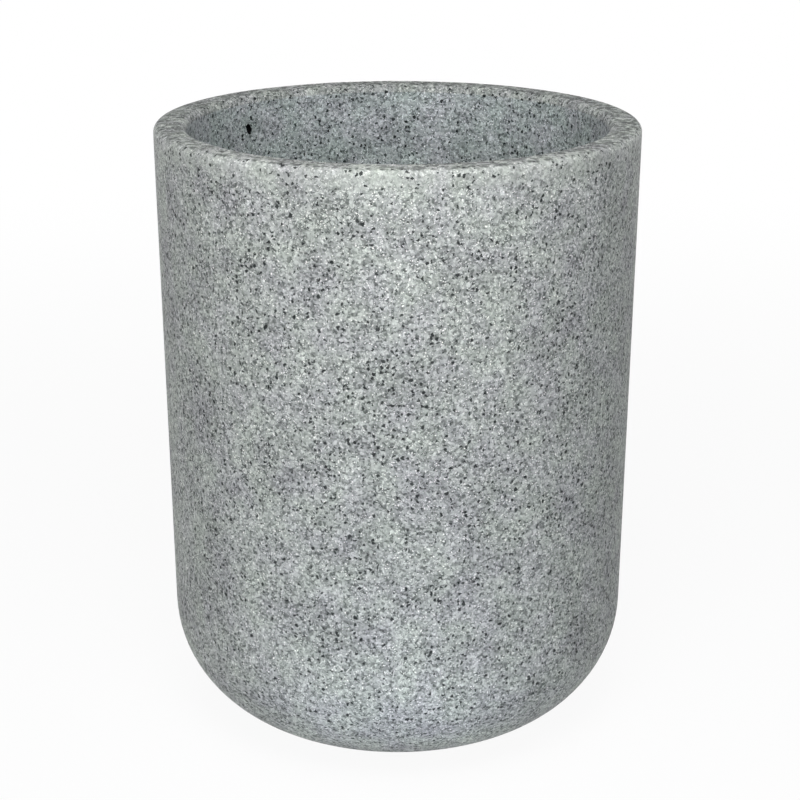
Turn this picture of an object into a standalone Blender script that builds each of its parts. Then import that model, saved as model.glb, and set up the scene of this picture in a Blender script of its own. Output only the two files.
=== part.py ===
"""A round tumbler that holds toothbrushes: a cup cast in stone-effect resin, on a foam pad.

Metres, +Z up. The origin is the centre of the pad's underside, where the tumbler meets the worktop.
The cup is one casting. Both of its walls lean outwards a little as they rise, so that it leaves the
mould and its core, and a large round corner turns the outside into the foot.
"""

import math

import bmesh
import bpy

# Outside of the cup
RIM_RADIUS = 0.0400
CUP_HEIGHT = 0.1040
OUTER_DRAFT_DEG = 0.55
BASE_CORNER_RADIUS = 0.0206

# Inside of the cup. The floor's thickness is its least, above the pad.
RIM_WALL = 0.0053
INNER_DRAFT_DEG = 0.90
FLOOR_THICKNESS = 0.0055
INNER_CORNER_RADIUS = 0.0150

# Lip, eased by hand after casting
LIP_OUTER_RADIUS = 0.0012
LIP_INNER_RADIUS = 0.0014

# Foot: the ground ring that goes round the pad, and the eased edge of the pad's seat
FOOT_RING_WIDTH = 0.0028
SEAT_EDGE_RADIUS = 0.0004

# Foam pad. It stands proud of the foot ring, so the resin never touches the worktop.
PAD_THICKNESS = 0.0020
PAD_PROUD = 0.0008
PAD_EDGE_RADIUS = 0.0003
PAD_SIDE_CLEARANCE = 0.0005
GLUE_FILM = 0.0003

# Facets
CUP_SEGMENTS = 96
PAD_SEGMENTS = 64
CORNER_STEPS = 10
LIP_STEPS = 4
EDGE_STEPS = 2
SHARP_ANGLE_DEG = 40
MERGE_DISTANCE = 0.00001

# Levels and radii that follow from the sizes above
SEAT_LEVEL = PAD_THICKNESS + GLUE_FILM
FOOT_LEVEL = PAD_PROUD
FLOOR_LEVEL = SEAT_LEVEL + FLOOR_THICKNESS
RIM_LEVEL = FOOT_LEVEL + CUP_HEIGHT


class Wall:
    """A moulded wall seen in the profile: a straight line that leans outwards as it rises."""

    def __init__(self, rim_radius, draft_deg):
        self.rim_radius = rim_radius
        self.draft = math.radians(draft_deg)

    def radius_at(self, level):
        """How far the wall is from the axis at a level."""
        return self.rim_radius - (RIM_LEVEL - level) * math.tan(self.draft)

    def base_corner(self, level, radius, steps):
        """The arc from this wall down to a flat at a level, tangent to both."""
        rise = radius * (1 - math.sin(self.draft))
        centre = self.radius_at(level + rise) - radius * math.cos(self.draft)
        return arc(centre, level + radius, radius, -self.draft, -math.pi / 2, steps)

    def outer_lip(self, radius, steps):
        """The arc from the rim's flat down to this wall, where the material is inside the wall."""
        drop = radius * (1 + math.sin(self.draft))
        centre = self.radius_at(RIM_LEVEL - drop) - radius * math.cos(self.draft)
        return arc(centre, RIM_LEVEL - radius, radius, math.pi / 2, -self.draft, steps)

    def inner_lip(self, radius, steps):
        """The arc from this wall up to the rim's flat, where the material is outside the wall."""
        drop = radius * (1 - math.sin(self.draft))
        centre = self.radius_at(RIM_LEVEL - drop) + radius * math.cos(self.draft)
        return arc(centre, RIM_LEVEL - radius, radius, math.pi - self.draft, math.pi / 2, steps)


def arc(centre_x, centre_z, radius, start, end, steps):
    """Points along an arc in the profile's plane, with both of its ends."""
    points = []
    for step in range(steps + 1):
        angle = start + (end - start) * step / steps
        points.append((centre_x + radius * math.cos(angle), centre_z + radius * math.sin(angle)))
    return points


OUTER_WALL = Wall(RIM_RADIUS, OUTER_DRAFT_DEG)
INNER_WALL = Wall(RIM_RADIUS - RIM_WALL, INNER_DRAFT_DEG)
OUTER_CORNER = OUTER_WALL.base_corner(FOOT_LEVEL, BASE_CORNER_RADIUS, CORNER_STEPS)
INNER_CORNER = INNER_WALL.base_corner(FLOOR_LEVEL, INNER_CORNER_RADIUS, CORNER_STEPS)

# The foot's flat ends where the outer corner meets it, and the pad's seat fills it but for the ring
FOOT_RADIUS = OUTER_CORNER[-1][0]
SEAT_RADIUS = FOOT_RADIUS - FOOT_RING_WIDTH
PAD_RADIUS = SEAT_RADIUS - PAD_SIDE_CLEARANCE


def cup_profile():
    """Half of the cup's section: from the axis along the floor, up the inside, over the lip, down
    the outside, round the foot and the pad's seat, and back to the axis."""
    floor_and_inside = [(0, FLOOR_LEVEL)] + INNER_CORNER[::-1]
    lip = INNER_WALL.inner_lip(LIP_INNER_RADIUS, LIP_STEPS)
    lip += OUTER_WALL.outer_lip(LIP_OUTER_RADIUS, LIP_STEPS)
    seat_edge = arc(
        SEAT_RADIUS + SEAT_EDGE_RADIUS,
        FOOT_LEVEL + SEAT_EDGE_RADIUS,
        SEAT_EDGE_RADIUS,
        -math.pi / 2,
        -math.pi,
        EDGE_STEPS,
    )
    seat = [(SEAT_RADIUS, SEAT_LEVEL), (0, SEAT_LEVEL)]
    return floor_and_inside + lip + OUTER_CORNER + seat_edge + seat


def new_collection(name):
    """A collection in the scene."""
    collection = bpy.data.collections.new(name)
    bpy.context.scene.collection.children.link(collection)
    return collection


def new_material(name, colour, roughness, metallic):
    """A plain Principled material for one piece. The colour is linear."""
    material = bpy.data.materials.new(name)
    material.use_nodes = True
    shader = material.node_tree.nodes["Principled BSDF"]
    shader.inputs["Base Color"].default_value = (*colour, 1)
    shader.inputs["Roughness"].default_value = roughness
    shader.inputs["Metallic"].default_value = metallic
    material.diffuse_color = (*colour, 1)
    return material


def turned(name, profile, segments):
    """An object whose profile of (radius, level) points a Screw modifier turns about Z."""
    mesh = bpy.data.meshes.new(name)
    edges = [(i, i + 1) for i in range(len(profile) - 1)]
    mesh.from_pydata([(x, 0, z) for x, z in profile], edges, [])
    obj = bpy.data.objects.new(name, mesh)
    screw = obj.modifiers.new("Turn", "SCREW")
    screw.steps = segments
    screw.render_steps = segments
    screw.use_merge_vertices = True
    screw.merge_threshold = MERGE_DISTANCE
    return obj


def made_solid(obj):
    """The object with its modifiers applied, shaded smooth except at its sharp edges."""
    bpy.context.view_layer.update()
    graph = bpy.context.evaluated_depsgraph_get()
    mesh = bpy.data.meshes.new_from_object(obj.evaluated_get(graph))
    mesh.name = obj.name
    obj.modifiers.clear()
    obj.data = mesh
    mesh.shade_smooth()
    mesh.set_sharp_from_angle(angle=math.radians(SHARP_ANGLE_DEG))


def make_cup(collection):
    """The cast cup, turned in one piece."""
    cup = turned("cup_body", cup_profile(), CUP_SEGMENTS)
    collection.objects.link(cup)
    made_solid(cup)
    cup.data.materials.append(new_material("stone_resin", (0.40, 0.42, 0.41), 0.50, 0))
    return cup


def make_pad(collection):
    """The foam disc: a short cylinder with eased edges, as thick as it is before it is pressed."""
    mesh = bpy.data.meshes.new("nonslip_pad")
    shape = bmesh.new()
    bmesh.ops.create_cone(
        shape,
        cap_ends=True,
        segments=PAD_SEGMENTS,
        radius1=PAD_RADIUS,
        radius2=PAD_RADIUS,
        depth=PAD_THICKNESS,
    )
    shape.to_mesh(mesh)
    shape.free()
    pad = bpy.data.objects.new("nonslip_pad", mesh)
    pad.location.z = PAD_THICKNESS / 2
    collection.objects.link(pad)
    ease = pad.modifiers.new("Ease", "BEVEL")
    ease.width = PAD_EDGE_RADIUS
    ease.segments = EDGE_STEPS
    ease.limit_method = "ANGLE"
    ease.angle_limit = math.radians(SHARP_ANGLE_DEG)
    made_solid(pad)
    pad.data.materials.append(new_material("pad_foam", (0.035, 0.036, 0.038), 0.90, 0))
    return pad


def main():
    """Clears the scene and builds the tumbler."""
    for obj in list(bpy.data.objects):
        bpy.data.objects.remove(obj, do_unlink=True)
    parts = new_collection("toothbrush_holder")
    holder = bpy.data.objects.new("toothbrush_holder", None)
    parts.objects.link(holder)
    for piece in (make_cup(parts), make_pad(parts)):
        piece.parent = holder


main()
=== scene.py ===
"""A tumbler for toothbrushes, cast in stone-effect resin, on its foam pad: how it looks.

Metres, +Z up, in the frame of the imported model. The tumbler is round about Z, and -Y faces the
photograph's camera. Both pieces are turned from sections in the XZ plane. Their patterns are drawn
in millimetres on Object coordinates, so they run right through the material, as real grain does.
"""

import logging
import math
from dataclasses import dataclass
from enum import Enum

import bmesh
import bpy
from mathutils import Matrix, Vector, noise


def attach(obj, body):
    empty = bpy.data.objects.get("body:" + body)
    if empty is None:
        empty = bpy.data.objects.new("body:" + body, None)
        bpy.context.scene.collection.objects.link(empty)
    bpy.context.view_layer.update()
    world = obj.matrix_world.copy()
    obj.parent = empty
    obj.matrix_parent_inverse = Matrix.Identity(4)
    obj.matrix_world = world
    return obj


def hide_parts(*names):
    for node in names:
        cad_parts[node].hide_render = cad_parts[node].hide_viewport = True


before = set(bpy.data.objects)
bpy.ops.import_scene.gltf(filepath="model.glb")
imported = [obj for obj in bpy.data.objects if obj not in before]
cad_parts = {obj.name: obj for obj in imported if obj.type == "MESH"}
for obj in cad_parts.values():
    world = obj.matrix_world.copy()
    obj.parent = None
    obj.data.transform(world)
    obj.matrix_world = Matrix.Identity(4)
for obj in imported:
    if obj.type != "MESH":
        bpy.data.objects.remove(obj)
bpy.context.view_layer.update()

LOG = logging.getLogger("tumbler")

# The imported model's names
BODY = "root"
CUP_NODE = "cup_body"
PAD_NODE = "nonslip_pad"

MM = 0.001
PER_MM = 1 / MM
WHITE = "#FFFFFF"
FULL_TURN = 2 * math.pi
MERGE_DISTANCE = 0.000002

# Blender's noise lies about a middle, mostly within this reach of it. Detail adds finer octaves.
NOISE_MIDDLE = 0.5
NOISE_REACH = 0.25
NOISE_DETAIL = 2.0

# How far apart the patterns of two sizes of grain are drawn, and the noise of a lean and a rich mix
GRAINS_APART_MM = (37.3, 11.9, 23.1)
DRIFT_LEAN = NOISE_MIDDLE - NOISE_REACH
DRIFT_RICH = NOISE_MIDDLE + NOISE_REACH

# The middle of the tumbler, where most of the lamps look
MIDDLE = (0, 0, 0.055)

# The most corners that a face keeps where the wall is cut finer
QUAD_CORNERS = 4

# Where red, green and blue begin in #RRGGBB, and the two pieces of the curve between sRGB and
# linear light
CHANNEL_STARTS = (1, 3, 5)
SRGB_KNEE = 0.04045
SRGB_SLOPE = 12.92
SRGB_LIFT = 0.055
SRGB_POWER = 2.4
BYTE = 255


def linear(colour: str) -> tuple[float, float, float, float]:
    """Turns an sRGB colour into the linear one that shaders and lamps take.

    Args:
        colour: The colour as #RRGGBB.

    Returns:
        Linear red, green and blue, and an alpha of 1.
    """
    channels = []
    for start in CHANNEL_STARTS:
        value = int(colour[start : start + 2], 16) / BYTE
        if value <= SRGB_KNEE:
            channels.append(value / SRGB_SLOPE)
        else:
            channels.append(((value + SRGB_LIFT) / (1 + SRGB_LIFT)) ** SRGB_POWER)
    return (*channels, 1.0)


def live(sockets: bpy.types.bpy_prop_collection, name: str = "") -> bpy.types.NodeSocket:
    """Finds a socket among those that a node uses at its present settings.

    Args:
        sockets: The node's inputs or outputs.
        name: The socket's name, or nothing for the first.

    Returns:
        The socket.
    """
    return next(socket for socket in sockets if socket.enabled and name in ("", socket.name))


def add_node(
    tree: bpy.types.NodeTree,
    kind: str,
    inputs: dict[int | str, object] | None = None,
    stops: tuple[tuple[float, str], ...] = (),
    **settings: object,
) -> bpy.types.Node:
    """Adds a node with its settings and links.

    Args:
        tree: The tree that gets the node.
        kind: The node's type, such as ShaderNodeMath.
        inputs: What goes into each input, by its name or number. A socket is linked, and so is a
            node's first output. A hex colour is turned to linear, and anything else is set.
        stops: Places and hex colours for a colour ramp.
        settings: The node's own properties, such as operation.

    Returns:
        The node.
    """
    node = tree.nodes.new(kind)
    for name, value in settings.items():
        setattr(node, name, value)
    for key, value in (inputs or {}).items():
        socket = node.inputs[key] if isinstance(key, int) else live(node.inputs, key)
        if isinstance(value, bpy.types.Node):
            tree.links.new(live(value.outputs), socket)
        elif isinstance(value, bpy.types.NodeSocket):
            tree.links.new(value, socket)
        elif isinstance(value, str):
            socket.default_value = linear(value)
        else:
            socket.default_value = value
    if stops:
        elements = node.color_ramp.elements
        while len(elements) < len(stops):
            elements.new(1)
        for element, (place, colour) in zip(elements, stops):
            element.position = place
            element.color = linear(colour)
    return node


def new_material(name: str) -> tuple[bpy.types.Material, bpy.types.NodeTree]:
    """Makes a node material with nothing in its tree.

    Args:
        name: The material's name.

    Returns:
        The material and its empty tree.
    """
    material = bpy.data.materials.new(name)
    material.use_nodes = True
    material.node_tree.nodes.clear()
    return material, material.node_tree


def millimetres(tree: bpy.types.NodeTree) -> bpy.types.Node:
    """Gives Object coordinates in millimetres.

    Args:
        tree: The material's tree.

    Returns:
        The node whose output patterns read.
    """
    place = add_node(tree, "ShaderNodeTexCoord")
    return add_node(
        tree,
        "ShaderNodeVectorMath",
        {"Vector": place.outputs["Object"], "Scale": PER_MM},
        operation="SCALE",
    )


def bent(
    tree: bpy.types.NodeTree, place: bpy.types.Node, pitch_mm: float, push_mm: float
) -> bpy.types.Node:
    """Bends coordinates a little with soft noise.

    Args:
        tree: The material's tree.
        place: Coordinates in millimetres.
        pitch_mm: How far apart the bends lie.
        push_mm: About how far a point is pushed.

    Returns:
        The node whose output is the bent coordinates.
    """
    wave = add_node(
        tree,
        "ShaderNodeTexNoise",
        {"Vector": place, "Scale": 1 / pitch_mm, "Detail": NOISE_DETAIL},
    )
    centred = add_node(
        tree,
        "ShaderNodeVectorMath",
        {0: wave.outputs["Color"], 1: (NOISE_MIDDLE,) * 3},
        operation="SUBTRACT",
    )
    return add_node(
        tree,
        "ShaderNodeVectorMath",
        {0: centred, 1: (push_mm / NOISE_REACH,) * 3, 2: place},
        operation="MULTIPLY_ADD",
    )


@dataclass(frozen=True)
class Grain:
    """One size of grain stirred into the resin. It shows as crushed balls cut by the surface.

    pitch_mm is how far apart the grains' places lie, and share how many of these places are filled.
    A grain's radius lies between least_mm and most_mm, its edge blurs over soft_mm, its colour lies
    between dark and light, and cover is how well it hides the resin. clumping is how much of the
    share comes and goes with the drifts in the mix, and chipped_mm is how ragged the outline is.
    """

    pitch_mm: float
    share: float
    least_mm: float
    most_mm: float
    soft_mm: float
    dark: str
    light: str
    cover: float
    clumping: float = 0.0
    chipped_mm: float = 0.0


class Surface(Enum):
    """How a face of the casting was left."""

    MOULDED = "moulded"
    CORED = "cored"
    GROUND = "ground"
    BROKEN = "broken"


@dataclass(frozen=True)
class StoneResin:
    """Polyester casting resin filled with quartz powder, crushed stone and black chips.

    It comes out of a silicone mould satin matt, since the filler keeps the skin from levelling as
    clear resin does. The eye sees a dense salt-and-pepper mix, paler and calmer on the lip's outer
    edge, where hand rubbing wore the casting down, and painted lighter towards the front.
    The lip's flat and inner edge carry painted shade. The index is cured polyester's.
    """

    surface: Surface
    rim_mm: float
    rim_radius_mm: float
    index: float = 1.55
    # The specular level: the filler breaks up most of the skin's gloss
    gloss: float = 0.10
    roughness: float = 0.58
    roughness_swing: float = 0.07
    # Crushing bends every outline. The drifts in the mix are slow noise, read where its rich and
    # lean patches agree best with the photograph's.
    bend_pitch_mm: float = 0.75
    bend_mm: float = 0.20
    drift_pitch_mm: float = 7.5
    drift_place_mm: tuple[float, float, float] = (72.5, -92.5, 67.5)
    # The ground mass: crushed stone and finer powder, both drawn coarser than real so as to show
    mosaic_pitch_mm: float = 0.50
    powder_pitch_mm: float = 0.31
    powder_share: float = 0.52
    mosaic: tuple[tuple[float, str], ...] = (
        (0.12, "#5F6463"),
        (0.35, "#8F9493"),
        (0.55, "#A8ADAC"),
        (0.75, "#BABFBE"),
        (0.92, "#D2D7D6"),
    )
    # Milky quartz, white quartz sand, grey stone
    grains: tuple[Grain, ...] = (
        Grain(
            pitch_mm=0.80,
            share=0.15,
            least_mm=0.14,
            most_mm=0.36,
            soft_mm=0.10,
            dark="#B6BAB9",
            light="#DFE4E3",
            cover=0.85,
        ),
        Grain(
            pitch_mm=0.34,
            share=0.62,
            least_mm=0.06,
            most_mm=0.13,
            soft_mm=0.03,
            dark="#D8DCDB",
            light="#FDFFFE",
            cover=1.0,
        ),
        Grain(
            pitch_mm=0.80,
            share=0.20,
            least_mm=0.14,
            most_mm=0.34,
            soft_mm=0.12,
            dark="#525756",
            light="#7C8180",
            cover=0.80,
            clumping=0.6,
        ),
    )
    # Black chips, which lie over the dust and painted light that cover the other grains on the lip
    chips: Grain = Grain(
        pitch_mm=0.74,
        share=0.36,
        least_mm=0.12,
        most_mm=0.30,
        soft_mm=0.06,
        dark="#1B1E1F",
        light="#393D3D",
        cover=0.96,
        clumping=0.9,
        chipped_mm=0.52,
    )
    # Inside the cup the chips are blacker
    cored_chips: Grain = Grain(
        pitch_mm=0.74,
        share=0.34,
        least_mm=0.12,
        most_mm=0.31,
        soft_mm=0.07,
        dark="#0B0E0F",
        light="#343939",
        cover=0.96,
        clumping=1.0,
        chipped_mm=0.52,
    )
    chipped_pitch_mm: float = 0.24
    # Where the mix is rich in chips it looks a shade darker and bluer
    drift_tones: tuple[tuple[float, str], ...] = (
        (0.30, "#FFFFFB"),
        (0.50, "#F7F6F4"),
        (0.70, "#E8E6E6"),
    )
    # The quartz powder runs from faintly green to faintly violet
    tint_pitch_mm: float = 5.0
    tints: tuple[tuple[float, str], ...] = ((0.36, "#FDFFFB"), (0.64, "#FEFCFF"))
    # The lip's outer edge: worn down by rubbing and pale with resin dust, and towards the front
    # painted light. How far down and how far in it reaches, and from where to the front it grows.
    # It is full from halfway.
    rubbed_mm: float = 4.0
    rubbed_in_mm: float = 3.6
    highlight_from_mm: float = 6.0
    highlight_full_mm: float = 26.0
    dust_and_highlight_share: float = 0.34
    rubbed_roughness: float = 0.55
    ragged_mm: float = 1.2
    ragged_pitch_mm: float = 1.25
    dust_and_highlight_colour: str = "#BEC3C0"
    # The lip's flat carries painted shade, in patches that stand for clusters of grain. The shade
    # is full to a third of its depth. On the inner edge the painted shade reaches further down,
    # shows less and fades away outwards.
    painted_shade_mm: float = 0.34
    painted_shade_parts: float = 3
    painted_shade_pitch_mm: float = 1.1
    painted_shade_detail: float = 3.0
    painted_shade_tones: tuple[tuple[float, str], ...] = ((0.42, "#9FA1A1"), (0.58, "#FFFFFF"))
    inner_shade_mm: float = 1.5
    inner_shade_fade_mm: float = 1.0
    inner_shade_share: float = 0.45
    # Relief of the skin: the powder under it, drawn coarser than real so that it shows, and slow
    # unevenness from the mould
    skin_mm: float = 0.045
    skin_pitch_mm: float = 0.42
    swell_mm: float = 0.03
    swell_pitch_mm: float = 3.5
    # Scratches from the grinding plate, all one way
    scratch_mm: float = 0.0
    scratch_pitch_mm: float = 0.14
    scratch_long_mm: float = 7.0

    @classmethod
    def left(cls, surface: Surface, rim_mm: float, rim_radius_mm: float) -> "StoneResin":
        """Chooses the finish for a face by how it was left.

        Args:
            surface: As moulded; against the core, tinted a little cooler as painted bluish light,
            with blacker chips; or ground flat on a plate, which cuts the grains sharp and
            scratches.
            rim_mm: The lip's level.
            rim_radius_mm: The lip's radius.

        Returns:
            The finish.
        """
        changes = {
            Surface.MOULDED: {},
            # Inside: tints painted cooler for the bluish light there, and blacker chips
            Surface.CORED: {
                "tints": ((0.36, "#F7FEFC"), (0.64, "#FBFAFF")),
                "drift_tones": ((0.30, "#FFFFFF"), (0.50, "#F9F9F9"), (0.70, "#E4E4E4")),
                "chips": cls.cored_chips,
            },
            Surface.GROUND: {
                "roughness": 0.70,
                "bend_mm": 0.12,
                "skin_mm": 0.004,
                "swell_mm": 0.008,
                "scratch_mm": 0.006,
            },
        }
        return cls(surface, rim_mm, rim_radius_mm, **changes[surface])

    def material(self) -> bpy.types.Material:
        """Builds the material.

        Returns:
            The material, named for the resin and how its face was left.
        """
        material, tree = new_material(f"stone_resin_{self.surface.value}")
        place = millimetres(tree)
        crushed = bent(tree, place, self.bend_pitch_mm, self.bend_mm)
        parts = add_node(tree, "ShaderNodeSeparateXYZ", {0: place})
        across = add_node(
            tree, "ShaderNodeVectorMath", {0: place, 1: (1, 1, 0)}, operation="MULTIPLY"
        )
        from_axis = add_node(tree, "ShaderNodeVectorMath", {0: across}, operation="LENGTH")
        batch = add_node(
            tree, "ShaderNodeVectorMath", {0: place, 1: self.drift_place_mm}, operation="ADD"
        )
        drift = add_node(
            tree,
            "ShaderNodeTexNoise",
            {"Vector": batch, "Scale": 1 / self.drift_pitch_mm, "Detail": NOISE_DETAIL},
        )
        tint = add_node(
            tree, "ShaderNodeTexNoise", {"Vector": place, "Scale": 1 / self.tint_pitch_mm}
        )
        rubbed_and_lit, painted_shade = self.lip(tree, place, parts, from_axis)
        colour = self.ground_mass(tree, crushed)
        for number, grain in enumerate(self.grains):
            colour = self.stirred_in(tree, crushed, drift, colour, grain, number)
        # Pale dust on the lip's worn outer edge, with painted light that grows towards the front
        colour = add_node(
            tree,
            "ShaderNodeMix",
            {"Factor": rubbed_and_lit, "A": colour, "B": self.dust_and_highlight_colour},
            data_type="RGBA",
        )
        colour = self.stirred_in(tree, crushed, drift, colour, self.chips, len(self.grains))
        for wave, stops in ((drift, self.drift_tones), (tint, self.tints)):
            tones = add_node(tree, "ShaderNodeValToRGB", {"Fac": wave}, stops=stops)
            colour = add_node(
                tree,
                "ShaderNodeMix",
                {"Factor": 1.0, "A": colour, "B": tones},
                data_type="RGBA",
                blend_type="MULTIPLY",
            )
        # Painted shade on the lip's flat and inner edge, in patches like clustered grain
        patches = add_node(
            tree,
            "ShaderNodeTexNoise",
            {"Vector": place, "Scale": 1 / self.painted_shade_pitch_mm, "Detail": self.painted_shade_detail},
        )
        shades = add_node(tree, "ShaderNodeValToRGB", {"Fac": patches}, stops=self.painted_shade_tones)
        colour = add_node(
            tree,
            "ShaderNodeMix",
            {"Factor": painted_shade, "A": colour, "B": shades},
            data_type="RGBA",
            blend_type="MULTIPLY",
        )
        shader = add_node(
            tree,
            "ShaderNodeBsdfPrincipled",
            {
                "Base Color": colour,
                "Roughness": self.dullness(tree, tint, rubbed_and_lit),
                "IOR": self.index,
                "Specular IOR Level": self.gloss,
                "Normal": self.relief(tree, place),
            },
        )
        add_node(tree, "ShaderNodeOutputMaterial", {"Surface": shader})
        return material

    def ground_mass(self, tree: bpy.types.NodeTree, crushed: bpy.types.Node) -> bpy.types.Node:
        """Draws the fine crushed stone that fills the resin between the larger grains.

        Args:
            tree: The material's tree.
            crushed: Bent coordinates in millimetres.

        Returns:
            The node whose output is the colour.
        """
        tones = []
        for pitch in (self.mosaic_pitch_mm, self.powder_pitch_mm):
            cells = add_node(tree, "ShaderNodeTexVoronoi", {"Vector": crushed, "Scale": 1 / pitch})
            tones.append(add_node(tree, "ShaderNodeSeparateColor", {0: cells.outputs["Color"]}))
        mixed = add_node(
            tree, "ShaderNodeMix", {"Factor": self.powder_share, "A": tones[0], "B": tones[1]}
        )
        return add_node(tree, "ShaderNodeValToRGB", {"Fac": mixed}, stops=self.mosaic)

    def stirred_in(
        self,
        tree: bpy.types.NodeTree,
        crushed: bpy.types.Node,
        drift: bpy.types.Node,
        under: bpy.types.Node,
        grain: Grain,
        number: int,
    ) -> bpy.types.Node:
        """Lays one size of grain over the colour so far.

        Args:
            tree: The material's tree.
            crushed: Bent coordinates in millimetres.
            drift: How rich the mix is here, about a half on average.
            under: The colour that it lies in.
            grain: The grain.
            number: Its place in the list, which keeps its pattern apart from the others'.

        Returns:
            The node whose output is the colour with the grain in it.
        """
        apart = tuple(number * step for step in GRAINS_APART_MM)
        moved = add_node(
            tree, "ShaderNodeVectorMath", {0: crushed, 1: apart}, operation="ADD"
        )
        cells = add_node(
            tree, "ShaderNodeTexVoronoi", {"Vector": moved, "Scale": 1 / grain.pitch_mm}
        )
        chance = add_node(tree, "ShaderNodeSeparateColor", {0: cells.outputs["Color"]})
        filled = add_node(
            tree,
            "ShaderNodeMapRange",
            {
                "Value": drift,
                "From Min": DRIFT_LEAN,
                "From Max": DRIFT_RICH,
                "To Min": grain.share * (1 - grain.clumping),
                "To Max": grain.share * (1 + grain.clumping),
            },
            clamp=False,
        )
        there = add_node(
            tree, "ShaderNodeMath", {0: chance.outputs["Red"], 1: filled}, operation="LESS_THAN"
        )
        radius = add_node(
            tree,
            "ShaderNodeMapRange",
            {
                "Value": chance.outputs["Green"],
                "To Min": grain.least_mm / grain.pitch_mm,
                "To Max": grain.most_mm / grain.pitch_mm,
            },
        )
        depth = add_node(
            tree,
            "ShaderNodeMath",
            {0: radius, 1: cells.outputs["Distance"]},
            operation="SUBTRACT",
        )
        middle = 0.0
        if grain.chipped_mm:
            chipped = add_node(
                tree,
                "ShaderNodeTexNoise",
                {"Vector": moved, "Scale": 1 / self.chipped_pitch_mm},
            )
            swing = grain.chipped_mm / grain.pitch_mm
            middle = swing * NOISE_MIDDLE
            depth = add_node(
                tree, "ShaderNodeMath", {0: chipped, 1: swing, 2: depth}, operation="MULTIPLY_ADD"
            )
        edge = grain.soft_mm / grain.pitch_mm / 2
        inside = add_node(
            tree,
            "ShaderNodeMapRange",
            {
                "Value": depth,
                "From Min": middle - edge,
                "From Max": middle + edge,
                "To Max": grain.cover,
            },
            interpolation_type="SMOOTHSTEP",
        )
        shown = add_node(tree, "ShaderNodeMath", {0: inside, 1: there}, operation="MULTIPLY")
        tone = add_node(
            tree,
            "ShaderNodeMix",
            {"Factor": chance.outputs["Blue"], "A": grain.dark, "B": grain.light},
            data_type="RGBA",
        )
        return add_node(
            tree, "ShaderNodeMix", {"Factor": shown, "A": under, "B": tone}, data_type="RGBA"
        )

    def lip(
        self,
        tree: bpy.types.NodeTree,
        place: bpy.types.Node,
        parts: bpy.types.Node,
        from_axis: bpy.types.Node,
    ) -> tuple[bpy.types.Node, bpy.types.Node]:
        """Finds the lip's outer edge, worn down and smeared with resin dust, with painted light
        at the front; and its flat, with painted shade.

        Args:
            tree: The material's tree.
            place: Coordinates in millimetres.
            parts: The coordinates one by one.
            from_axis: The distance from the axis in millimetres.

        Returns:
            The nodes whose outputs are how much dust and painted light cover the stone, and how
            much the painted shade on the flat and the inner edge shows.
        """
        level = parts.outputs["Z"]
        ragged = add_node(
            tree,
            "ShaderNodeTexNoise",
            {"Vector": place, "Scale": 1 / self.ragged_pitch_mm, "Detail": NOISE_DETAIL},
        )
        half = self.ragged_mm * NOISE_MIDDLE
        shares = []
        edge_mm = self.rim_radius_mm - self.rubbed_in_mm
        for value, least, most in (
            (level, self.rim_mm - self.rubbed_mm, self.rim_mm - self.rubbed_mm / 2),
            (from_axis, edge_mm, edge_mm + self.rubbed_in_mm / 2),
            # Growing towards the front: there the pale edge is painted light
            (parts.outputs["Y"], -self.highlight_from_mm, -self.highlight_full_mm),
        ):
            uneven = add_node(
                tree,
                "ShaderNodeMath",
                {0: ragged, 1: self.ragged_mm, 2: value},
                operation="MULTIPLY_ADD",
            )
            shares.append(
                add_node(
                    tree,
                    "ShaderNodeMapRange",
                    {"Value": uneven, "From Min": least + half, "From Max": most + half},
                    interpolation_type="SMOOTHSTEP",
                )
            )
        rubbed_and_lit = self.dust_and_highlight_share
        for share in shares:
            rubbed_and_lit = add_node(
                tree, "ShaderNodeMath", {0: rubbed_and_lit, 1: share}, operation="MULTIPLY"
            )
        # Painted shade: full on the flat, and weaker further down the inner edge, fading outwards
        flat, below = (
            add_node(
                tree,
                "ShaderNodeMapRange",
                {
                    "Value": level,
                    "From Min": self.rim_mm - depth,
                    "From Max": self.rim_mm - depth / self.painted_shade_parts,
                    "To Max": share,
                },
                interpolation_type="SMOOTHSTEP",
            )
            for depth, share in ((self.painted_shade_mm, 1.0), (self.inner_shade_mm, self.inner_shade_share))
        )
        inside = add_node(
            tree,
            "ShaderNodeMapRange",
            {"Value": from_axis, "From Min": edge_mm, "From Max": edge_mm - self.inner_shade_fade_mm},
            interpolation_type="SMOOTHSTEP",
        )
        faded = add_node(tree, "ShaderNodeMath", {0: below, 1: inside}, operation="MULTIPLY")
        painted_shade = add_node(tree, "ShaderNodeMath", {0: flat, 1: faded}, operation="MAXIMUM")
        return rubbed_and_lit, painted_shade

    def dullness(
        self, tree: bpy.types.NodeTree, wave: bpy.types.Node, rubbed_and_lit: bpy.types.Node
    ) -> bpy.types.Node:
        """Varies the roughness with the mix, and smooths it on the lip's worn outer edge.

        Args:
            tree: The material's tree.
            wave: Soft noise, about a half on average.
            rubbed_and_lit: How worn and dusty the lip's edge is, with painted light at the front.

        Returns:
            The node whose output is the roughness.
        """
        swing = add_node(
            tree,
            "ShaderNodeMapRange",
            {
                "Value": wave,
                "From Min": DRIFT_LEAN,
                "From Max": DRIFT_RICH,
                "To Min": self.roughness - self.roughness_swing,
                "To Max": self.roughness + self.roughness_swing,
            },
        )
        return add_node(
            tree, "ShaderNodeMix", {"Factor": rubbed_and_lit, "A": swing, "B": self.rubbed_roughness}
        )

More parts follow.
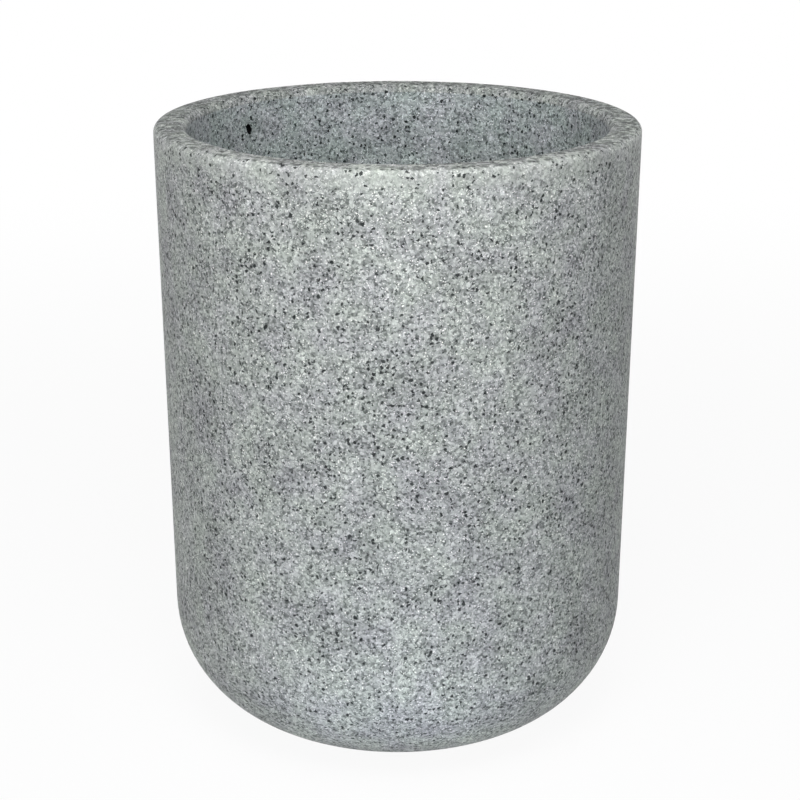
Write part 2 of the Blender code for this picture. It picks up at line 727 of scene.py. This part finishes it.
    def relief(self, tree: bpy.types.NodeTree, place: bpy.types.Node) -> bpy.types.Node:
        """Raises the skin over its powder and over the mould's slow unevenness.

        Args:
            tree: The material's tree.
            place: Coordinates in millimetres.

        Returns:
            The last bump node.
        """
        waves = [
            (self.swell_mm, (1 / self.swell_pitch_mm,) * 3),
            (self.skin_mm, (1 / self.skin_pitch_mm,) * 3),
        ]
        if self.scratch_mm:
            scratches = (1 / self.scratch_pitch_mm, 1 / self.scratch_long_mm, 0)
            waves.append((self.scratch_mm, scratches))
        inputs = {}
        for height, pitches in waves:
            drawn = add_node(
                tree, "ShaderNodeVectorMath", {0: place, 1: pitches}, operation="MULTIPLY"
            )
            wave = add_node(tree, "ShaderNodeTexNoise", {"Vector": drawn, "Scale": 1.0})
            bump = add_node(
                tree, "ShaderNodeBump", {"Height": wave, "Distance": height * MM, **inputs}
            )
            inputs = {"Normal": bump}
        return bump


@dataclass(frozen=True)
class BubbleShade:
    """The hollow of an air bubble that broke open: painted shade, near black, mottled with dust.
    It looks like a black speck.

    Such dust is finer than this: the pitch and the crust are drawn as coarse as they need to show.
    """

    # Near black: painted shade in the hollow, mottled a little lighter
    base: str = "#020303"
    dust: str = "#0B0C0C"
    index: float = 1.50
    gloss: float = 0.10
    roughness: float = 0.95
    dust_pitch_mm: float = 0.15
    crust_mm: float = 0.02

    def material(self) -> bpy.types.Material:
        """Builds the material.

        Returns:
            The material of the bubble's painted shade.
        """
        material, tree = new_material("bubble_painted_shade")
        dusty = add_node(
            tree,
            "ShaderNodeTexNoise",
            {"Vector": millimetres(tree), "Scale": 1 / self.dust_pitch_mm},
        )
        colour = add_node(
            tree,
            "ShaderNodeMix",
            {"Factor": dusty, "A": self.base, "B": self.dust},
            data_type="RGBA",
        )
        bump = add_node(
            tree, "ShaderNodeBump", {"Height": dusty, "Distance": self.crust_mm * MM}
        )
        shader = add_node(
            tree,
            "ShaderNodeBsdfPrincipled",
            {
                "Base Color": colour,
                "Roughness": self.roughness,
                "IOR": self.index,
                "Specular IOR Level": self.gloss,
                "Normal": bump,
            },
        )
        add_node(tree, "ShaderNodeOutputMaterial", {"Surface": shader})
        return material


@dataclass(frozen=True)
class PadFoam:
    """Closed-cell foam rubber, die-cut from sheet. It looks dull and nearly black.

    The skin shows fine open cells where the sheet was split. Real ones are about half as wide: they
    are drawn as coarse as they need to show.
    """

    base: str = "#232425"
    dust: str = "#5A5B5C"
    index: float = 1.50
    roughness: float = 0.85
    cell_pitch_mm: float = 0.45
    cell_mm: float = 0.25
    dust_pitch_mm: float = 4.0
    dust_detail: float = 5.0
    dust_roughness: float = 0.7

    def material(self) -> bpy.types.Material:
        """Builds the material.

        Returns:
            The foam's material.
        """
        material, tree = new_material("pad_foam_closed_cell")
        place = millimetres(tree)
        cells = add_node(
            tree, "ShaderNodeTexVoronoi", {"Vector": place, "Scale": 1 / self.cell_pitch_mm}
        )
        dusty = add_node(
            tree,
            "ShaderNodeTexNoise",
            {
                "Vector": place,
                "Scale": 1 / self.dust_pitch_mm,
                "Detail": self.dust_detail,
                "Roughness": self.dust_roughness,
            },
        )
        lifted = add_node(
            tree, "ShaderNodeMath", {0: dusty, 1: live(cells.outputs)}, operation="MULTIPLY"
        )
        colour = add_node(
            tree,
            "ShaderNodeMix",
            {"Factor": lifted, "A": self.base, "B": self.dust},
            data_type="RGBA",
        )
        bump = add_node(
            tree, "ShaderNodeBump", {"Height": cells, "Distance": self.cell_mm * MM}
        )
        shader = add_node(
            tree,
            "ShaderNodeBsdfPrincipled",
            {
                "Base Color": colour,
                "Roughness": self.roughness,
                "IOR": self.index,
                "Normal": bump,
            },
        )
        add_node(tree, "ShaderNodeOutputMaterial", {"Surface": shader})
        return material


@dataclass(frozen=True)
class Corner:
    """A corner of a section, where its straight sides would meet.

    rounding is the radius that eases it, and steps the facets of that arc.
    """

    radius: float
    level: float
    rounding: float = 0.0
    steps: int = 0


def turned(corners: list[Corner], spin_steps: int, longest: float) -> bmesh.types.BMesh:
    """Turns a section about Z into a closed solid.

    Args:
        corners: The section's corners in order, the first and the last on the axis.
        spin_steps: The facets of a full turn.
        longest: The length from which a straight side is cut into equal rings.

    Returns:
        The solid, with its normals outwards.
    """
    shape = bmesh.new()
    verts = [shape.verts.new((corner.radius, 0, corner.level)) for corner in corners]
    for pair in zip(verts, verts[1:]):
        shape.edges.new(pair)
    for before, corner, after, vert in zip(corners, corners[1:], corners[2:], verts[1:]):
        if corner.steps:
            ahead = Vector((after.radius - corner.radius, after.level - corner.level))
            behind = Vector((corner.radius - before.radius, corner.level - before.level))
            reach = corner.rounding * math.tan(ahead.angle(behind) / 2)
            bmesh.ops.bevel(
                shape,
                geom=[vert],
                offset=reach,
                offset_type="OFFSET",
                affect="VERTICES",
                segments=corner.steps,
                profile=0.5,
                material=-1,
            )
    for side in shape.edges[:]:
        cuts = int(side.calc_length() / longest)
        if cuts:
            bmesh.ops.subdivide_edges(shape, edges=[side], cuts=cuts)
    bmesh.ops.spin(
        shape,
        geom=shape.verts[:] + shape.edges[:],
        cent=(0, 0, 0),
        axis=(0, 0, 1),
        dvec=(0, 0, 0),
        angle=FULL_TURN,
        steps=spin_steps,
        use_merge=True,
        use_duplicate=False,
    )
    bmesh.ops.remove_doubles(shape, verts=shape.verts[:], dist=MERGE_DISTANCE)
    bmesh.ops.recalc_face_normals(shape, faces=shape.faces[:])
    return shape


def piece_from(
    name: str, shape: bmesh.types.BMesh, materials: list[bpy.types.Material], sharp_deg: float
) -> bpy.types.Object:
    """Puts a finished shape into the scene, shaded smooth but for its sharp edges.

    Args:
        name: The piece's name.
        shape: The shape, which is freed.
        materials: What its faces' material numbers stand for.
        sharp_deg: The angle between faces from which an edge stays sharp.

    Returns:
        The piece, its object at the origin.
    """
    mesh = bpy.data.meshes.new(name)
    shape.to_mesh(mesh)
    shape.free()
    mesh.shade_smooth()
    mesh.set_sharp_from_angle(angle=math.radians(sharp_deg))
    for material in materials:
        mesh.materials.append(material)
    piece = bpy.data.objects.new(name, mesh)
    bpy.context.scene.collection.objects.link(piece)
    return piece


def hand_over(piece: bpy.types.Object, node: str) -> None:
    """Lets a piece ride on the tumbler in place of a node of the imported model.

    Args:
        piece: The piece.
        node: The node that it stands for.
    """
    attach(piece, BODY)
    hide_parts(node)
    LOG.info("%s: %d faces, in place of %s", piece.name, len(piece.data.polygons), node)


@dataclass
class Cup:
    """The cast cup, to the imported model's sizes, with finer roundings and a lip eased by hand."""

    rim_radius: float = 0.0400
    height: float = 0.1040
    foot_level: float = 0.0008
    outer_draft_deg: float = 0.55
    base_corner: float = 0.0206
    rim_wall: float = 0.0053
    inner_draft_deg: float = 0.90
    floor_level: float = 0.0078
    inner_corner: float = 0.0150
    lip_outer: float = 0.0012
    lip_inner: float = 0.0014
    seat_radius: float = 0.0158
    seat_level: float = 0.0023
    seat_edge: float = 0.0004
    # Facets of the roundings and of a full turn, and how tall a ring of the straight walls is
    inner_corner_steps: int = 20
    lip_steps: int = 8
    base_corner_steps: int = 24
    seat_edge_steps: int = 4
    spin_steps: int = 192
    ring_height: float = 0.0025
    sharp_deg: float = 40
    # How straight down the normal of a face points when the face counts as flat
    flat_enough: float = 0.9
    # How unevenly a hand eases a lip: the most that it takes off, and over what length
    wear_depth: float = 0.00009
    wear_pitch: float = 0.011
    wear_reach: float = 0.0022
    # The one air bubble that broke open inside the lip: its middle, its long way and how many times
    # longer than wide it is; and how far round it the wall is cut finer, and how finely
    bubble: tuple[float, float, float] = (-0.02626, 0.02254, 0.09889)
    bubble_long: tuple[float, float, float] = (-0.223, -0.259, 0.940)
    bubble_stretch: float = 1.65
    bubble_radius: float = 0.00060
    bubble_depth: float = 0.0009
    bubble_lip: float = 0.00004
    bubble_reach: float = 0.0032
    bubble_cuts: int = 15

    @property
    def rim_level(self) -> float:
        """The level of the lip's flat."""
        return self.foot_level + self.height

    def wall_radius(self, rim_radius: float, draft_deg: float, level: float) -> float:
        """How far a wall that leans by its draft is from the axis at a level."""
        return rim_radius - (self.rim_level - level) * math.tan(math.radians(draft_deg))

    def section(self) -> list[Corner]:
        """Lists the section's corners, from the inner floor over the lip and down to the seat.

        Returns:
            The corners in order.
        """
        inner_rim = self.rim_radius - self.rim_wall
        inner_foot = self.wall_radius(inner_rim, self.inner_draft_deg, self.floor_level)
        outer_foot = self.wall_radius(self.rim_radius, self.outer_draft_deg, self.foot_level)
        return [
            Corner(0, self.floor_level),
            Corner(inner_foot, self.floor_level, self.inner_corner, self.inner_corner_steps),
            Corner(inner_rim, self.rim_level, self.lip_inner, self.lip_steps),
            Corner(self.rim_radius, self.rim_level, self.lip_outer, self.lip_steps),
            Corner(outer_foot, self.foot_level, self.base_corner, self.base_corner_steps),
            Corner(self.seat_radius, self.foot_level, self.seat_edge, self.seat_edge_steps),
            Corner(self.seat_radius, self.seat_level),
            Corner(0, self.seat_level),
        ]

    def wear_lip(self, shape: bmesh.types.BMesh) -> None:
        """Takes a little off the lip, unevenly, towards the middle of the wall.

        Args:
            shape: The turned cup.
        """
        ring_radius = self.rim_radius - self.rim_wall / 2
        for vert in shape.verts:
            share = (vert.co.z - self.rim_level + self.wear_reach) / self.wear_reach
            if share <= 0:
                continue
            ring = Vector((vert.co.x, vert.co.y, 0)).normalized() * ring_radius
            ring.z = self.rim_level - self.wear_reach
            chance = (noise.noise(vert.co / self.wear_pitch) + 1) / 2
            inward = (ring - vert.co).normalized()
            vert.co += inward * chance * self.wear_depth * min(share, 1)

    def break_bubble(self, shape: bmesh.types.BMesh) -> None:
        """Opens the bubble inside the lip, by pushing the wall in there.

        Args:
            shape: The turned cup.
        """
        centre = Vector(self.bubble)
        near = [
            edge
            for edge in shape.edges
            if all((vert.co - centre).length < self.bubble_reach for vert in edge.verts)
        ]
        bmesh.ops.subdivide_edges(shape, edges=near, cuts=self.bubble_cuts, use_grid_fill=True)
        joins = [face for face in shape.faces if len(face.verts) > QUAD_CORNERS]
        bmesh.ops.triangulate(shape, faces=joins)
        into_wall = Vector((*centre.xy, 0)).normalized()
        long = Vector(self.bubble_long)
        for vert in shape.verts:
            away = vert.co - centre
            away += long * away.dot(long) * (1 / self.bubble_stretch - 1)
            depth = 1 - (away.length / self.bubble_radius) ** 2
            if depth > 0:
                vert.co += into_wall * depth * self.bubble_depth

    def surface_of(self, face: bmesh.types.BMFace) -> Surface:
        """Tells how a face was left.

        Args:
            face: A face of the turned cup.

        Returns:
            Ground on the foot's ring, broken in the bubble, cored inside up to the lip's easing,
            and moulded elsewhere.
        """
        middle = face.calc_center_median()
        if middle.z < self.foot_level + self.seat_edge and face.normal.z < -self.flat_enough:
            return Surface.GROUND
        inner_rim = self.rim_radius - self.rim_wall
        into_wall = middle.xy.length - self.wall_radius(inner_rim, self.inner_draft_deg, middle.z)
        near = (middle - Vector(self.bubble)).length < self.bubble_reach
        if near and self.bubble_lip < into_wall:
            return Surface.BROKEN
        inner_foot = self.floor_level - self.seat_edge
        if into_wall < self.bubble_lip and inner_foot < middle.z < self.rim_level - self.lip_inner:
            return Surface.CORED
        return Surface.MOULDED

    def build(self) -> bpy.types.Object:
        """Builds the cup and dresses it.

        Returns:
            The cup, riding in place of its node.
        """
        shape = turned(self.section(), self.spin_steps, self.ring_height)
        self.wear_lip(shape)
        self.break_bubble(shape)
        surfaces = list(Surface)
        for face in shape.faces:
            face.material_index = surfaces.index(self.surface_of(face))
        rim_mm = self.rim_level * PER_MM
        rim_radius_mm = self.rim_radius * PER_MM
        finishes = [
            BubbleShade().material()
            if surface is Surface.BROKEN
            else StoneResin.left(surface, rim_mm, rim_radius_mm).material()
            for surface in surfaces
        ]
        cup = piece_from("tumbler_cup", shape, finishes, self.sharp_deg)
        hand_over(cup, CUP_NODE)
        return cup


@dataclass
class Pad:
    """The foam disc stuck in the foot's recess: die-cut, its edges eased by the cutting."""

    radius: float = 0.0153
    thickness: float = 0.0020
    edge: float = 0.0003
    edge_steps: int = 4
    segments: int = 128
    ring_width: float = 0.0016
    sharp_deg: float = 60
    fill: float = 1.0

    def build(self) -> bpy.types.Object:
        """Builds the pad and dresses it.

        Returns:
            The pad, riding in place of its node.
        """
        corners = [
            Corner(0, 0),
            Corner(self.radius, 0, self.edge, self.edge_steps),
            Corner(self.radius, self.thickness, self.edge, self.edge_steps),
            Corner(0, self.thickness),
        ]
        shape = turned(corners, self.segments, self.ring_width)
        pad = piece_from("foot_pad", shape, [PadFoam().material()], self.sharp_deg)
        hand_over(pad, PAD_NODE)
        return pad


@dataclass(frozen=True)
class Lamp:
    """A square soft box that looks at a point."""

    name: str
    place: tuple[float, float, float]
    target: tuple[float, float, float]
    size: float
    watts: float
    colour: str = WHITE

    def hang(self) -> None:
        """Puts the lamp up where the camera can't see it."""
        light = bpy.data.lights.new(self.name, "AREA")
        light.shape = "SQUARE"
        light.size = self.size
        light.energy = self.watts
        light.color = linear(self.colour)[:3]
        lamp = bpy.data.objects.new(self.name, light)
        bpy.context.scene.collection.objects.link(lamp)
        lamp.visible_camera = False
        aim(lamp, Vector(self.place), Vector(self.target))


def aim(thing: bpy.types.Object, place: Vector, target: Vector) -> None:
    """Puts a lamp or a camera at a place, looking at a target.

    Args:
        thing: What looks.
        place: Where it stands.
        target: What it looks at.
    """
    thing.location = place
    thing.rotation_mode = "QUATERNION"
    thing.rotation_quaternion = (target - place).to_track_quat("-Z", "Y")


@dataclass(frozen=True)
class Studio:
    """A white sweep, a soft box above the front, low fill round it, and the photograph's camera."""

    # The camera, fitted to the tumbler's outline in a frame 800 pixels wide
    frame_pixels: float = 800
    focal_pixels: float = 1887.7
    shift_pixels: float = 2.38
    sensor_mm: float = 36
    distance: float = 0.32636
    elevation_deg: float = 18.864
    target_level: float = 0.05599
    # The floor. Near the tumbler it keeps part of its own light and shade, and further off it is
    # white.
    floor_size: float = 3.0
    floor_gap: float = 0.00002
    floor_colour: str = "#F1F2F2"
    floor_roughness: float = 0.9
    white_share: float = 0.93
    white_near: float = 0.10
    white_far: float = 0.45
    world_strength: float = 0.13
    # Each lamp's name, place, target, size, power in watts and colour
    lamps: tuple[Lamp, ...] = (
        Lamp("key_above_front", (0, -0.125, 0.2715), MIDDLE, 0.20, 0.338),
        Lamp("key_small", (0, -0.15, 0.20), (0, 0, 0.08), 0.08, 0.118),
        Lamp("fill_front_left", (-0.42, -0.90, 0.19), MIDDLE, 0.60, 3.43, "#FCFCFF"),
        Lamp("fill_front_right", (0.42, -0.90, 0.19), MIDDLE, 0.60, 1.05, "#EEF1FF"),
        Lamp("floor_bounce", (0, -0.075, 0.0015), (0, -0.075, 1), 0.06, 0.0136, "#E2EAFF"),
        Lamp("fill_back", (0, 0.90, 0.05), MIDDLE, 0.10, 3.6),
        Lamp("fill_back_left", (-0.58, 0.69, 0.05), MIDDLE, 0.20, 1.0),
        Lamp("fill_back_right", (0.58, 0.69, 0.05), MIDDLE, 0.20, 1.0),
    )

    def set_camera(self) -> None:
        """Puts the camera at the photograph's viewpoint."""
        data = bpy.data.cameras.new("photo_camera")
        data.sensor_width = self.sensor_mm
        data.lens = self.focal_pixels / self.frame_pixels * self.sensor_mm
        data.shift_x = self.shift_pixels / self.frame_pixels
        camera = bpy.data.objects.new("photo_camera", data)
        bpy.context.scene.collection.objects.link(camera)
        tilt = math.radians(self.elevation_deg)
        target = Vector((0, 0, self.target_level))
        back = Vector((0, -math.cos(tilt), math.sin(tilt))) * self.distance
        aim(camera, target + back, target)
        bpy.context.scene.camera = camera

    def seen_by_eye(self, tree: bpy.types.NodeTree) -> bpy.types.Node:
        """Tells what the camera sees, straight or in a gloss, from what lights the tumbler.

        Args:
            tree: The tree of the floor or the world.

        Returns:
            The node whose output is 1 for what is seen.
        """
        path = add_node(tree, "ShaderNodeLightPath")
        seen = path.outputs["Is Camera Ray"]
        for name in ("Is Glossy Ray", "Is Transmission Ray"):
            seen = add_node(
                tree, "ShaderNodeMath", {0: seen, 1: path.outputs[name]}, operation="MAXIMUM"
            )
        return seen

    def floor_material(self) -> bpy.types.Material:
        """Builds the painted white sweep, which can be looked through from below.

        Returns:
            The floor's material.
        """
        material, tree = new_material("white_sweep")
        paint = add_node(
            tree,
            "ShaderNodeBsdfDiffuse",
            {"Color": self.floor_colour, "Roughness": self.floor_roughness},
        )
        white = add_node(tree, "ShaderNodeEmission", {"Color": WHITE, "Strength": 1.0})
        place = add_node(tree, "ShaderNodeTexCoord")
        away = add_node(
            tree, "ShaderNodeVectorMath", {0: place.outputs["Object"]}, operation="LENGTH"
        )
        share = add_node(
            tree,
            "ShaderNodeMapRange",
            {
                "Value": away,
                "From Min": self.white_near,
                "From Max": self.white_far,
                "To Min": self.white_share,
                "To Max": 1.0,
            },
            interpolation_type="SMOOTHSTEP",
        )
        shown = add_node(
            tree, "ShaderNodeMath", {0: share, 1: self.seen_by_eye(tree)}, operation="MULTIPLY"
        )
        mixed = add_node(tree, "ShaderNodeMixShader", {"Fac": shown, 1: paint, 2: white})
        side = add_node(tree, "ShaderNodeNewGeometry")
        clear = add_node(tree, "ShaderNodeBsdfTransparent")
        both = add_node(
            tree, "ShaderNodeMixShader", {"Fac": side.outputs["Backfacing"], 1: mixed, 2: clear}
        )
        add_node(tree, "ShaderNodeOutputMaterial", {"Surface": both})
        return material

    def lay_floor(self) -> None:
        """Lays the floor a hair below the pad."""
        shape = bmesh.new()
        bmesh.ops.create_grid(shape, x_segments=1, y_segments=1, size=self.floor_size)
        bmesh.ops.translate(shape, verts=shape.verts[:], vec=(0, 0, -self.floor_gap))
        mesh = bpy.data.meshes.new("floor")
        shape.to_mesh(mesh)
        shape.free()
        mesh.materials.append(self.floor_material())
        floor = bpy.data.objects.new("floor", mesh)
        bpy.context.scene.collection.objects.link(floor)

    def set_world(self) -> None:
        """Fills the studio with faint even light, before a background that is seen as white."""
        world = bpy.data.worlds.new("studio_air")
        world.use_nodes = True
        tree = world.node_tree
        tree.nodes.clear()
        air, white = (
            add_node(tree, "ShaderNodeBackground", {"Color": WHITE, "Strength": strength})
            for strength in (self.world_strength, 1.0)
        )
        mixed = add_node(
            tree, "ShaderNodeMixShader", {"Fac": self.seen_by_eye(tree), 1: air, 2: white}
        )
        add_node(tree, "ShaderNodeOutputWorld", {"Surface": mixed})
        bpy.context.scene.world = world

    def build(self) -> None:
        """Sets up the camera, floor, world and lamps."""
        self.set_camera()
        self.lay_floor()
        self.set_world()
        for lamp in self.lamps:
            lamp.hang()
            LOG.info("lamp %s: %.2f W", lamp.name, lamp.watts)
        bpy.context.scene.view_settings.view_transform = "Standard"


def main() -> None:
    """Builds the tumbler's pieces and the studio round them."""
    logging.basicConfig(level=logging.INFO, format="%(name)s: %(message)s")
    Studio().build()
    for maker in (Cup(), Pad()):
        maker.build()


if __name__ == "__main__":
    main()
